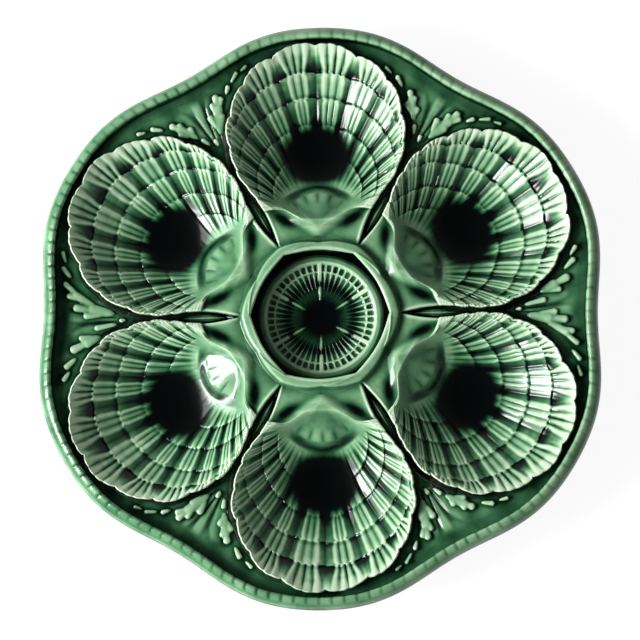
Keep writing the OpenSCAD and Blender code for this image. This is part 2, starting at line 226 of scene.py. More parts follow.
def bowl_z(p):
    v = p - WELL
    q = norm(v)
    turn = np.arctan2(v[..., 1], v[..., 0])
    e = ROUND_X - WELL_R
    reach = e * np.cos(turn) + np.sqrt(ROUND_R**2 - (e * np.sin(turn)) ** 2)
    rim = mix(EDGE_IN_Z, EDGE_OUT_Z, (1 + np.cos(turn)) / 2)
    return mix(WELL_FLOOR_Z, rim, np.minimum(1, q / reach) ** 2)


def web_under(p):
    """Underside of the plate in the frame of a shell or a gap, flat over the foot ring."""
    r = norm(p)
    turn = np.abs(np.degrees(np.arctan2(p[..., 1], p[..., 0])))
    along = r * cosd(HALF_SECTOR - turn)
    land = 1 - step(FOOT_W / 2 + 1, FOOT_W / 2 + LAND_MARGIN, np.abs(r - FOOT_R))
    return mix(ground(along) - WALL, FOOT_H, land)


# Meshes and objects


def new_object(name, data):
    """A new object, linked to the scene."""
    obj = bpy.data.objects.new(name, data)
    bpy.context.scene.collection.objects.link(obj)
    return obj


def around(r, a, z):
    """Points at a radius, an angle and a height."""
    return np.stack(np.broadcast_arrays(r * cosd(a), r * sind(a), z), -1)


def grid_quads(rows, cols, closed=False):
    """Faces of a grid of points numbered row by row, each row closed or not."""
    r, c = np.mgrid[0 : rows - 1, 0 : cols if closed else cols - 1]
    a = r * cols + c
    b = r * cols + (c + 1) % cols
    return np.stack([a, b, b + cols, a + cols], -1).reshape(-1, 4).tolist()


def tube_faces(stations, loop):
    """Faces of a tube of closed loops with flat ends."""
    last = (stations - 1) * loop
    return grid_quads(stations, loop, closed=True) + [list(range(loop)), list(range(last, last + loop))]


def ring_strip(before, here):
    """Faces between two closed lines of as many points."""
    n = len(here)
    return [[before[j], before[(j + 1) % n], here[(j + 1) % n], here[j]] for j in range(n)]


def ring_faces(stations, loop):
    """Faces of a tube of closed loops that ends where it began."""
    last = (stations - 1) * loop
    return grid_quads(stations, loop, closed=True) + ring_strip(range(last, last + loop), range(loop))


def centre_fan(ring, centre):
    n = len(ring)
    return [[ring[k], ring[(k + 1) % n], centre] for k in range(n)]


# One shell: ribs from its hinge fan outwards, crossed by growth lines into five bands

SHELL_GRID = (448, 176)
RIB_H = 0.8
RIB_UNEVEN = 0.2
STEP_H = 0.65
STEP_W = 0.95
LINE_STAGGER = 0.004
LINE_UNEVEN = 0.003
LINE_FADE = (0.86, 0.94)
BAND_LEAST = 0.02
OUTER_BAND = 4
VALLEY_SHARES = [0.14, 0.2, 0.2, 0.15, 0.08]
VALLEY_ROUND = 0.08
VALLEY_EDGE = 0.05
RIBLETS = [2, 2, 3, 3, 4]
RIBLET_H = [0.2, 0.24, 0.28, 0.36, 0.6]
RIBLET_UNEVEN = 0.35
HINGE_COLS = (8, 14)
FLANK_COLS = (12, 16)
FLANK_RIDGE_H = 0.35
FLANK_RIDGE_W = 3.4
FAN_EDGE = 16.4
FAN_LIP = 20.9
FAN_TURN = (36, 50)
FLUTE_TURN = 20
FLUTE_H = 0.26
FLUTE_FROM = (11, 15.5)
POOL_X = 70.2
POOL_R = 11.5
POOL_WIDE = 1.14
POOL_FINGER = 3.0
POOL_SOFT = 4

# Extra glaze, on a scale where 0 is thin and 1 is black. In a valley: everywhere, and by a growth line

VALLEY_GLAZE = [(0.1, 0.04)] + [(0.27, 0.1)] * 3 + [(0.06, 0.55)]
RIBLET_GLAZE = 0.28
OUTER_RIBLET_GLAZE = 0.56
LINE_GLAZE = 0.12
POOL_GLAZE = 0.85
WELL_GLAZE = 0.16
CRESCENT_GLAZE = 0.27
FLUTE_GLAZE = 0.2
FAN_GLAZE = 0.17
BELOW_FAN_GLAZE = -0.2


def line_share(i, c):
    """Share of the way to the outline where growth line i crosses column c."""
    clamp = 1 - 0.03 * (4 - i)
    return np.minimum(clamp, 1 - (1 - LINE_SHARES[i]) * (1 - (c / LINE_ENDS[i]) ** 2))


def band_ends(c, t, rho):
    """Shares where the bands end: the fan's lip, the four growth lines and a little past the outline."""
    reach = np.maximum(rho / np.maximum(t, 1e-6), 1e-6)
    lip = np.clip(FAN_LIP / reach, 0, 0.6)
    return [lip] + [line_share(k, np.abs(c)) for k in range(4)] + [np.full_like(t, 1.06)]


def band_relief(band, start, end, i, c, share):
    """Height and extra glaze of a band of ribs between two shares, and where it lies."""
    outer = band == OUTER_BAND
    low = np.minimum(start, end - BAND_LEAST)
    f = (share - low) / (end - low)
    drop = STEP_W / SHELL_LEN / (end - low)
    seen = 1 if band == 0 else 1 - step(*LINE_FADE, start)
    saw = mix(0.5, f + 1 - step(0, drop, f), seen)
    near_line = ridge(np.maximum(f, 0), 0, 0.33)
    corner = ridge(f, 0, 0.13) + ridge(f, 1, 0.1)

    u = (c % 2) / 2
    rib = np.floor(c / 2)
    from_valley = np.minimum(u, 1 - u)
    widen = 1 + 1.3 * near_line if outer else 1 + 0.3 * corner
    valley = VALLEY_SHARES[band] * (1 + RIB_UNEVEN * rib_wobble(i, c)) * widen
    slope = np.clip(from_valley / (valley + VALLEY_ROUND), 0, 1)
    shape = slope * (2 - slope)
    flat = step(valley - VALLEY_EDGE, valley + VALLEY_EDGE, from_valley)
    w = np.clip((u - valley) / (1 - 2 * valley), 0, 1)
    fine = np.abs(np.sin(np.pi * RIBLETS[band] * w)) ** 0.6
    riblet_h = RIBLET_H[band] * (1 + RIBLET_UNEVEN * np.sin(3.1 * rib + 7 * u + i))
    riblet_h = riblet_h * (1 - 0.5 * step(*HINGE_COLS, np.abs(c)))
    z = RIB_H * (shape - 0.6) + STEP_H * (saw - 0.5) + riblet_h * (fine - 0.5) * flat

    everywhere, by_line = VALLEY_GLAZE[band]
    gather = (1 - flat) * (everywhere + by_line * near_line)
    line = ridge(f, drop * 1.2, drop) * seen
    crest = ridge(from_valley, valley + VALLEY_ROUND, 0.04)
    pale = 0.13 * crest + 0.08 * step(0.6, 1, f) + 0.06 * fine**3 * flat
    stroke = OUTER_RIBLET_GLAZE * (1.1 - 0.5 * np.clip(f, 0, 1)) if outer else RIBLET_GLAZE
    extra = gather + LINE_GLAZE * line + stroke * (1 - fine) * flat - pale
    return z, extra, (f >= 0) & (f < 1)


def rib_wobble(i, c):
    """Number between -1 and 1 that differs from rib to rib."""
    return np.sin(np.floor(c / 2) * 2.7 + i * 1.9)


def hinge_fan(rho, phi):
    """Height and extra glaze of the fluted fan, by distance and turn from the shell's point."""
    flutes = np.abs(sind(phi * 180 / FLUTE_TURN)) ** 0.8
    area = 1 - step(*FAN_TURN, phi)
    fluted = step(*FLUTE_FROM, rho) * (1 - step(FAN_EDGE, FAN_EDGE + 1, rho)) * area
    lip = ridge(rho, FAN_LIP + 0.2, 0.7) * area * step(14, 30, phi)
    crescent = 1 - step(FAN_LIP - 1.4, FAN_LIP + 0.8, rho)
    crescent = step(FAN_EDGE, FAN_EDGE + 2.4, rho) * crescent * area
    relief = FLUTE_H * (flutes - 0.5) * fluted + 0.02 * lip + 0.3 * ridge(rho, 10, 6) * area
    extra = CRESCENT_GLAZE * crescent - 0.12 * lip + FLUTE_GLAZE * (0.6 - flutes) * fluted
    extra = extra + FAN_GLAZE * ridge(rho, 9, 8) * (1 - step(20, 50, phi))
    extra = extra + BELOW_FAN_GLAZE * ridge(rho, FAN_LIP + 1.4, 2) * (1 - step(36, 56, phi))
    return relief, extra


def pool(p, fingers):
    """How far a point is out of the black pool of the well, and the pool's extra glaze."""
    v = p - np.array([POOL_X, 0])
    well = np.hypot(v[..., 0], v[..., 1] / POOL_WIDE)
    outward = step(-0.1, 0.6, v[..., 0] / np.maximum(well, 1))
    reach = POOL_R + POOL_FINGER * fingers * outward
    shallow = step(POOL_R - 2, POOL_R + 7, well)
    extra = POOL_GLAZE * (1 - step(reach - POOL_SOFT, reach + POOL_SOFT, well))
    return shallow, extra + WELL_GLAZE * (1 - step(12, 26, well))


def shell_relief(i, c, t, p):
    """Height of shell i over its smooth bowl, and the extra glaze that gathers there."""
    v = p - APEX
    rho = norm(v)
    phi = np.abs(np.degrees(np.arctan2(v[..., 1], v[..., 0])))
    u = (c % 2) / 2
    share = t - LINE_STAGGER * (sind(180 * u) - 0.5) - LINE_UNEVEN * rib_wobble(i, c)
    ends = band_ends(c, t, rho)
    relief = np.zeros_like(t)
    extra = np.zeros_like(t)
    for band in range(OUTER_BAND + 1):
        z, glaze, inside = band_relief(band, ends[band], ends[band + 1], i, c, share)
        relief = np.where(inside, z, relief)
        extra = np.where(inside, glaze, extra)
    extra = extra - 0.12 * step(0.965, 0.99, t)

    fade = step(FAN_LIP - 1, FAN_LIP + 8, rho)
    dip = 1 - step(0.12, 0.26, np.minimum(u, 1 - u))
    shallow, pool_extra = pool(p, (dip - 0.15) * fade)
    fan, fan_extra = hinge_fan(rho, phi)
    from_flank = rho * sind(np.clip(FLANK_ANGLE - phi, 0, 90))
    flank = ridge(from_flank, 0, FLANK_RIDGE_W) * (1 - step(8, 20, rho))
    relief = relief * fade * shallow * (1 - 0.55 * step(*FLANK_COLS, np.abs(c)))
    relief = relief + fan * (1 - 0.5 * flank) + FLANK_RIDGE_H * flank
    extra = extra * fade * (0.1 + 0.9 * shallow) + pool_extra + fan_extra + 0.1 * flank
    return relief, extra


def shell_top(i, c, t):
    """Plan points, height and extra glaze of shell i over columns and shares."""
    p = column(c, t)
    relief, extra = shell_relief(i, c, t, p)
    k = norm(p - APEX) / FAN_LEN
    fan = mix(APEX_Z, FAN_Z, mix(k, k * k, FAN_CURVE))
    base = bowl_z(p)
    blend = 0.5 * (base + fan + np.sqrt((base - fan) ** 2 + 0.6))
    return p, mix(base, blend, step(1.0, 0.84, k)) + relief, extra


SCALLOP_DEEP = 2.1
SCALLOP_COLS = (13, 15.5)
LIP_LEVELS = [(0.3, 0.18), (0.5, 0.55), (0.45, 1.2)]
UNDER_SHARES = np.linspace(0.94, 0.08, 13)
SHELL_BELOW = 0.06
BESIDE_FAN_GLAZE = 0.18


def scalloped(i, c, t, p):
    """Plan points of shell i with its edge drawn in between the ribs."""
    u = (c % 2) / 2
    uneven = 0.15 * np.sin(1.7 * c + 2 * i) + 0.14 * np.sin(2.3 * np.floor(c / 2) + 1.3 * i)
    wave = 0.64 * sind(180 * u) ** 0.8 + 0.09 * np.abs(np.sin(np.pi * 4 * u)) + uneven
    grow = SCALLOP_DEEP * np.minimum(wave - 0.9, 0) * step(0.84, 1, t)
    grow = grow * (1 - step(*SCALLOP_COLS, np.abs(c)))
    v = p - APEX
    rho = norm(v)
    return APEX + v * (1 + grow / np.maximum(rho, 1))[..., None]


def outward(edge):
    """Level directions out of a closed line of points, smoothed along it."""
    along = (np.roll(edge, -1, 0) - np.roll(edge, 1, 0))[:, :2]
    for _ in range(6):
        along = (np.roll(along, 1, 0) + along + np.roll(along, -1, 0)) / 3
    normal = np.stack([along[:, 1], -along[:, 0]], -1)
    normal /= norm(normal)[:, None]
    inward = np.sum(normal * (edge[:, :2] - WELL)) < 0
    return -normal if inward else normal


def shell_sides(edge):
    """Rings of points from a shell's edge: round its lip, down its wall and in under the well."""
    plan, z = edge[:, :2], edge[:, 2]
    normal = outward(edge)
    levels = [np.column_stack([plan + normal * out, z - drop]) for out, drop in LIP_LEVELS]
    levels.append(np.column_stack([plan, np.minimum(z - 1.5, ground(0) - 0.5)]))
    levels.append(np.column_stack([plan, web_under(plan) - SHELL_BELOW]))
    for share in UNDER_SHARES:
        q = WELL + (plan - WELL) * share
        low = np.maximum(FOOT_H, np.minimum(web_under(q) - SHELL_BELOW, bowl_z(q) - WALL))
        levels.append(np.column_stack([q, low]))
    return levels


def shell_piece(i):
    """Vertices, faces and extra glaze of shell i, closed, in the plate's frame."""
    cols, rows = SHELL_GRID
    c_line = np.linspace(-COLS, COLS, cols + 1)
    t_line = np.linspace(1 / rows, 1, rows)
    t, c = np.meshgrid(t_line, c_line, indexing="ij")
    p, z, extra = shell_top(i, c, t)
    p = scalloped(i, c, t, p)
    apex = [[APEX_R + APEX_ROUND, 0, APEX_Z + 0.1]]
    top = np.concatenate([np.concatenate([p, z[..., None]], -1).reshape(-1, 3), apex])
    wide = cols + 1
    apex_index = rows * wide
    faces = grid_quads(rows, wide)
    faces += [[k, k + 1, apex_index] for k in range(cols)]

    ring = [apex_index]
    ring += [r * wide + cols for r in range(rows)]
    ring += [(rows - 1) * wide + k for k in range(cols - 1, -1, -1)]
    ring += [r * wide for r in range(rows - 2, -1, -1)]
    edge = top[ring]
    levels = shell_sides(edge)
    n = len(ring)
    start = len(top)
    before = ring
    for k in range(len(levels)):
        here = range(start + k * n, start + (k + 1) * n)
        faces += ring_strip(before, here)
        before = here
    verts = np.concatenate([top] + levels + [[[WELL_R, 0, FOOT_H]]])
    faces += centre_fan(before, len(verts) - 1)

    gathered = np.zeros(len(verts))
    gathered[: extra.size] = extra.ravel()
    from_apex = norm(edge[:, :2] - APEX)
    beside_fan = BESIDE_FAN_GLAZE * (1 - step(15, 23, from_apex))
    gathered[start : start + 4 * n] = np.tile(beside_fan, 4)
    return turned(verts, shell_angle(i)), faces, gathered


# The body between the shells: slots with ears beside them, and fields with veined folds

BODY_COLS = 96
BODY_ROWS = 134
BODY_UNDER = 8
SLOT_RISE = 1.6
SLOT_RISE_END = (35, 42)
EAR_RUN = 4.2
EAR_BACK = 8
EAR_END = (43, 47.5)
EAR_INSET = 0.65
EAR_LIP_H = 0.4
HOLLOW_ALONG = 15
HOLLOW_LEN = 5.8
HOLLOW_ACROSS = 3.8
HOLLOW_W = 2.3
HOLLOW_DEEP = 0.55
GROOVE_DEEP = 0.8
SPRAY_START = 11
SPRAY_LEN = 28
SPRAY_TURN = 15
SPRAY_SPREAD = (24, 31)
SPRAY_H = 0.45
FIELD_FROM = (NECK_Y - 2, NECK_Y + 6)
MOUTH = (NECK_Y + 2, NECK_Y + 14)
HOLLOW_GLAZE = 0.55
FIELD_GLAZE = 0.15
VEIN_GLAZE = 0.16
FOLD_GLAZE = -0.1
SLOT_GLAZE = 0.4
GROOVE_GLAZE = 0.34
MOUTH_GLAZE = 0.5


def shell_edge():
    """Line that the body runs to under a shell's edge, as radius, angle and depth under the edge."""
    flank = column(np.full(60, float(COLS)), np.linspace(0, 1, 60))
    round_edge = outline(np.linspace(COLS, 0, 400)[1:])
    curve = np.concatenate([flank, round_edge])
    radius = norm(curve)
    inset = mix(0.35, SCALLOP_DEEP + 0.3, step(46, 60, radius))
    inset = inset * step(APEX_R + APEX_ROUND, APEX_R + 3, radius)
    way = np.gradient(curve, axis=0)
    way /= norm(way)[:, None]
    curve = curve + np.stack([way[:, 1], -way[:, 0]], -1) * inset[:, None]
    curve[-1, 1] = 0
    radius = np.maximum.accumulate(norm(curve))
    angle = np.degrees(np.arctan2(np.maximum(curve[:, 1], 0), curve[:, 0]))
    return radius, angle, inset


def edge_height(radius):
    """Height of a shell's edge beside its flank and slot, at a distance from the plate's axis."""
    p, z, _ = shell_top(0, np.full(60, float(COLS)), np.linspace(1 / 60, 1, 60))
    return np.interp(radius, norm(p), z)


def from_flank(x, y):
    """Place of a point of a gap along the nearest shell's flank, and its distance from it."""
    px = x * cosd(HALF_SECTOR) + np.abs(y) * sind(HALF_SECTOR) - APEX_R
    py = x * sind(HALF_SECTOR) - np.abs(y) * cosd(HALF_SECTOR)
    rounded = np.sqrt((py / np.tan(np.radians(FLANK_ANGLE))) ** 2 + APEX_ROUND**2)
    return px * cosd(FLANK_ANGLE) + py * sind(FLANK_ANGLE), (rounded - px) * sind(FLANK_ANGLE)


def ear_relief(r, x, y, side):
    """Height of the ears, their hollow, and where the slot between them lies."""
    along, across = from_flank(x, y)
    beside = side + EAR_BACK * (1 - step(*EAR_END, r))
    from_edge = np.maximum(0, np.minimum(across, beside))
    shelf = mix(COLLAR_EDGE_Z, EAR_Z, step(COLLAR_R, COLLAR_R + 4, r))
    ear_half = slot_half(x) - EAR_INSET
    hollow = ridge(along, HOLLOW_ALONG, HOLLOW_LEN) * ridge(across, HOLLOW_ACROSS, HOLLOW_W)
    ear = mix(edge_height(r) - 0.1, shelf, step(0, EAR_RUN, from_edge))
    ear = ear + EAR_LIP_H * ridge(np.abs(y), ear_half + 0.8, 0.7) - HOLLOW_DEEP * hollow
    in_slot = 1 - step(ear_half - 0.5, ear_half + 0.5, np.abs(y))
    return ear, hollow, in_slot


def spray(x, y):
    """Folds that fan out from the mouth of a field: where they lie, and the veins between them."""
    from_root = x - NECK_Y - SPRAY_START
    reach = np.hypot(from_root, y)
    bearing = np.degrees(np.arctan2(y, np.maximum(from_root, 1)))
    bent = bearing + 3 * np.sin(0.13 * bearing + 0.08 * x)
    vein = ((1 - cosd(bent * 360 / SPRAY_TURN)) / 2) ** 3
    folded = step(5, 10, reach) * (1 - step(SPRAY_LEN - 4, SPRAY_LEN, reach + 3 * vein))
    return folded * (1 - step(*SPRAY_SPREAD, np.abs(bearing))), vein


def body_relief(r, x, y, side):
    """Height and extra glaze of the body at x along the slot, y across, at a distance from the shell."""
    floor = ground(x) + SLOT_RISE * (1 - step(*SLOT_RISE_END, x))
    ear, hollow, in_slot = ear_relief(r, x, y, side)
    field = step(*FIELD_FROM, x)
    folded, vein = spray(x, y)
    folds = SPRAY_H * folded * (1 - 1.8 * vein) + 0.2 * np.sin(0.3 * y + 0.2 * x)
    z = np.where(x < SHOULDER_Y + 1.5, mix(ear, floor, in_slot), floor)
    z = z + field * (folds - GROOVE_DEEP * ridge(side, 0.3, 1.5))

    beside_slot = 1 - in_slot
    inner_zone = 1 - step(SHOULDER_Y - 4, SHOULDER_Y + 2, x)
    streak = np.sin(0.5 * y + 1.2 * np.sin(0.21 * x)) * np.sin(0.16 * x + 0.4)
    mouth = 1 - step(*MOUTH, x)
    in_field = FIELD_GLAZE + 0.05 * streak + (VEIN_GLAZE * vein + FOLD_GLAZE) * folded
    in_field = in_field + GROOVE_GLAZE * ridge(side, 0, 3.4) + MOUTH_GLAZE * mouth
    extra = (HOLLOW_GLAZE * hollow * beside_slot + 0.1) * inner_zone + in_field * field
    extra = extra + (SLOT_GLAZE * in_slot + 0.25 * (1 - inner_zone) * beside_slot) * (1 - field)
    return z, extra - 0.06 * ridge(r, COLLAR_R + 1, 2) * beside_slot


def body_grid():
    """Points of one gap, upper ones and lower ones, its extra glaze, and the rows shared with the next."""
    edge_r, edge_a, edge_inset = shell_edge()
    first, last = edge_r[0], edge_r[-1]
    inner = np.linspace(COLLAR_R - 0.6, first, 6)[:-1]
    radii = np.concatenate([inner, np.linspace(first, last, BODY_ROWS)])
    shared = [n for n, r in enumerate(radii) if r <= first] + [len(radii) - 1, len(radii)]
    m = np.linspace(-1, 1, BODY_COLS + 1)
    r, mm = np.meshgrid(radii, m, indexing="ij")
    width = HALF_SECTOR - np.interp(r, edge_r, edge_a)
    theta = mm * width
    pull = np.maximum(0, (r - NECK_Y) / (SHELL_OUT - NECK_Y))
    here = rim_in(HALF_SECTOR + theta)
    ends = rim_in(HALF_SECTOR + width)
    radius = r * (1 + pull * (here / ends - 1))
    side = np.radians(width - np.abs(theta)) * r - np.interp(r, edge_r, edge_inset)
    x, y = radius * cosd(theta), radius * sind(theta)
    z, extra = body_relief(r, x, y, side)
    to_rim = here - RIM_INSET - radius
    z = z - 0.6 * ridge(to_rim, 0, 1.2) * step(NECK_Y, NECK_Y + 20, r)
    extra = extra + 0.3 * ridge(to_rim, 0, 1.5)
    last_theta = m * HALF_SECTOR
    last_r = rim_in(HALF_SECTOR + last_theta) + 0.6
    lx, ly = last_r * cosd(last_theta), last_r * sind(last_theta)
    under_rim = np.stack([lx, ly, ground(lx) - 0.8], -1)
    top = np.concatenate([np.stack([x, y, z], -1), under_rim[None]])
    low = top[:, :: BODY_COLS // BODY_UNDER].copy()
    low[..., 2] = web_under(turned(low, -HALF_SECTOR)[..., :2])
    return top, low, extra, shared


def body_faces(rows, shared):
    """Faces of the body round all six gaps, closed where a row is shared with the next gap."""
    wide, low_wide = BODY_COLS + 1, BODY_UNDER + 1
    per_gap = rows * (wide + low_wide)
    skip = BODY_COLS // BODY_UNDER

    def up(i, n, k):
        if k == BODY_COLS and n in shared:
            return up((i + 1) % SHELLS, n, 0)
        return i * per_gap + n * wide + k

    def down(i, n, k):
        if k == BODY_UNDER and n in shared:
            return down((i + 1) % SHELLS, n, 0)
        return i * per_gap + rows * wide + n * low_wide + k

    faces = []
    for i in range(SHELLS):
        for n in range(rows - 1):
            for k in range(BODY_COLS):
                faces.append([up(i, n, k), up(i, n, k + 1), up(i, n + 1, k + 1), up(i, n + 1, k)])
            for k in range(BODY_UNDER):
                faces.append([down(i, n, k), down(i, n + 1, k), down(i, n + 1, k + 1), down(i, n, k + 1)])
            if n in shared and n + 1 in shared:
                continue
            faces.append([up(i, n, 0), up(i, n + 1, 0), down(i, n + 1, 0), down(i, n, 0)])
            end = [up(i, n, BODY_COLS), down(i, n, BODY_UNDER)]
            end += [down(i, n + 1, BODY_UNDER), up(i, n + 1, BODY_COLS)]
            faces.append(end)
        for k in range(BODY_UNDER):
            for n, turn in ((0, 1), (rows - 1, -1)):
                wall = [down(i, n, k), down(i, n, k + 1)]
                wall += [up(i, n, j) for j in range((k + 1) * skip, k * skip - 1, -1)]
                faces.append(wall[::turn])
    return faces


def body_piece():
    top, low, extra, shared = body_grid()
    gap = np.concatenate([top.reshape(-1, 3), low.reshape(-1, 3)])
    verts = np.concatenate([turned(gap, gap_angle(i)) for i in range(SHELLS)])
    glaze = np.zeros(len(gap))
    glaze[: extra.size] = extra.ravel()
    faces = body_faces(len(top), shared)
    used = sorted({v for f in faces for v in f})
    index = {v: k for k, v in enumerate(used)}
    faces = [[index[v] for v in f] for f in faces]
    return verts[used], faces, np.tile(glaze, SHELLS)[used]


# The beaded rim, with its profile in shares of its width and height

RIM_INSET = 1.0
RIM_SHARES = [
    (0, 0), (0, 0.3), (0, 0.6), (0.012, 0.75), (0.035, 0.86), (0.075, 0.935), (0.13, 0.98), (0.2, 1),
    (0.28, 0.995), (0.37, 0.98), (0.47, 0.95), (0.57, 0.915), (0.67, 0.875), (0.77, 0.825), (0.86, 0.765),
    (0.925, 0.7), (0.97, 0.61), (0.993, 0.5), (1, 0.38), (0.99, 0.25), (0.95, 0.15), (0.87, 0.06),
    (0.7, -0.01), (0.5, -0.045), (0.34, -0.05), (0.16, -0.03),
]
RIM_BEADS = 144
RIM_STATIONS = RIM_BEADS * 10
NOTCH_DEEP = 0.36
NOTCH_GLAZE = 0.34
NOTCH_END = (0.5, 0.66)
RIM_LINE = 0.67
# Painted shade: the rim's glaze is made darker on its side toward the window, at this angle, to offset the
# window's light
RIM_WINDOW_SHADE = 0.11
WINDOW_SIDE_ANGLE = 205


def rim_piece():
    turn = np.arange(RIM_STATIONS)[:, None] * 360 / RIM_STATIONS
    a = turn + FIRST_ANGLE + LEAN
    across, up = np.array(RIM_SHARES).T
    r0 = rim_in(turn)
    under = ground(r0 * cosd(HALF_SECTOR - turn % SECTOR)) - WALL
    # Painted shade toward the window: more glaze there, and notches cut deeper and glazed darker there
    toward_window = cosd(a - WINDOW_SIDE_ANGLE)
    strength = (0.65 + 0.35 * np.sin(turn * 0.21 + 1) * np.sin(turn * 0.077)) * (0.75 + 0.25 * toward_window)
    beaded = (1 - step(*NOTCH_END, across)) * step(0.45, 0.65, up)
    notch = ridge((turn * RIM_BEADS / 360) % 1, 0.5, 0.13) * strength * beaded
    z = mix(under, RIM_Z, up) - NOTCH_DEEP * notch
    z = z - 0.14 * ridge(across, RIM_LINE, 0.06) * (up > 0.6)
    verts = around(r0 - RIM_INSET + across * (RIM_W - 0.1 + RIM_INSET), a, z).reshape(-1, 3)
    # Random mottle, plus painted shade on the window side
    mottle_and_window_shade = 0.05 * np.sin(turn * 0.53) * np.sin(turn * 0.17 + 1) + RIM_WINDOW_SHADE * toward_window
    extra = NOTCH_GLAZE * notch + 0.14 + 0.08 * ridge(across, RIM_LINE, 0.09) + mottle_and_window_shade
    # Painted light: the outer edge is made paler, most on the window side, to brighten the steep outer
    # slope that the lamps leave dim
    extra = extra - (0.12 + 0.08 * toward_window) * step(0.75, 0.97, across)
    return verts, ring_faces(RIM_STATIONS, len(RIM_SHARES)), extra.ravel()


# The collar: a six-sided opening, a round-lobed edge, and a fold that winds over each side

COLLAR_STATIONS = 720
LOBE_IN, LOBE_OUT = 30.4, 33.3
TOP_SHARES = [0.04, 0.11, 0.2, 0.3, 0.42, 0.55, 0.68, 0.78, 0.86]
TOP_HEIGHTS = [23.45, 23.68, 23.75, 23.75, 23.72, 23.65, 23.5, 23.3, 22.7]
TOP_LINES = 26
OPENING_WALL = [(0, 23.1), (0, 22.3), (0.2, 20), (0.3, 15), (0.3, CUP_GROOVE_Z)]
FOLD_TURN = 34
FOLD_H = 0.28
COLLAR_GLAZE = 0.25
SKIRT_GLAZE = -0.04
SKIRT_LINES = 6


def from_side(turn):
    """0 at the middle of a side of the opening, 1 at its corners."""
    return np.abs((turn + HALF_SECTOR) % SECTOR - HALF_SECTOR) / HALF_SECTOR


def collar_profile(turn):
    """Lines of the collar, as radius and height, from its outer wall over the top and down to the cup."""
    off = from_side(turn)
    opening = mix(HEX_MID_R, HEX_CORNER_R, off**2.6)
    lobe = mix(LOBE_IN, LOBE_OUT, (off * off + 0.004) ** 0.36)
    profile = [
        (COLLAR_R + 0.3, SLOT_Z - WALL), (COLLAR_R + 0.3, COLLAR_EDGE_Z - 0.5),
        (COLLAR_R, COLLAR_EDGE_Z - 0.1), (np.minimum(lobe + 0.8, COLLAR_R - 0.1), COLLAR_EDGE_Z),
        (lobe + 0.4, COLLAR_EDGE_Z + 0.08), (lobe + 0.1, COLLAR_EDGE_Z + 0.5),
        (lobe - 0.2, COLLAR_EDGE_Z + 1.2),
    ]
    past = turn % SECTOR
    fold_share = mix(0.86, 0.1, past / FOLD_TURN)
    fold_height = FOLD_H * step(0, 4, past) * (1 - step(FOLD_TURN - 12, FOLD_TURN, past))
    for share in np.linspace(0.84, 0.04, TOP_LINES):
        level = np.interp(share, TOP_SHARES, TOP_HEIGHTS)
        behind = step(fold_share - 0.25, fold_share, share) * (share < fold_share)
        fold = ridge(share, fold_share, 0.1) + 0.8 * behind
        profile.append((mix(opening, lobe, share), level + fold_height * fold))
    profile += [(opening + back, z) for back, z in OPENING_WALL]
    return profile + [
        (CUP_R, CUP_GROOVE_Z), (CUP_R, FLANGE_TOP_Z), (FLANGE_OUT_R, FLANGE_TOP_Z),
    ]


def collar_piece():
    turn = np.arange(COLLAR_STATIONS) * 360 / COLLAR_STATIONS
    profile = collar_profile(turn)
    verts = np.stack([around(r, turn + FIRST_ANGLE + LEAN, z) for r, z in profile], 1).reshape(-1, 3)
    extra = np.full(len(profile), COLLAR_GLAZE)
    extra[:SKIRT_LINES] = SKIRT_GLAZE
    return verts, ring_faces(COLLAR_STATIONS, len(profile)), np.tile(extra, COLLAR_STATIONS)


# The cup: from its edge inwards a ring of pits, wedges between ribs, six spokes and a black middle

CUP_STATIONS = 576
CUP_LINES = 68
CUP_TICKS = 48
DISC_TOP_R = 25.2
DISC_EDGE_R = 26.9
DISC_ROUND = [(0.3, 0.15), (0.65, 0.4), (0.9, 0.75)]
PIT_IN, PIT_OUT = 19.8, 22.6
PIT_DEEP = 0.6
WEDGE_IN, WEDGE_OUT = 13.6, 19.1
WEDGE_DEEP = 0.4
SPOKE_IN, SPINDLE_OUT, SPINDLE_IN = 15.2, 13.8, 6.5
SPOKE_H = 0.3
PIT_GLAZE = 0.29
WEDGE_GLAZE = 0.25
SPOKE_GLAZE = -0.12
SPINDLE_GLAZE = -0.36
MIDDLE_GLAZE = 0.48
CENTRE_GLAZE = 0.35
DISC_ROUND_GLAZE = 0.06
GROOVE_LINE_GLAZE = 0.2


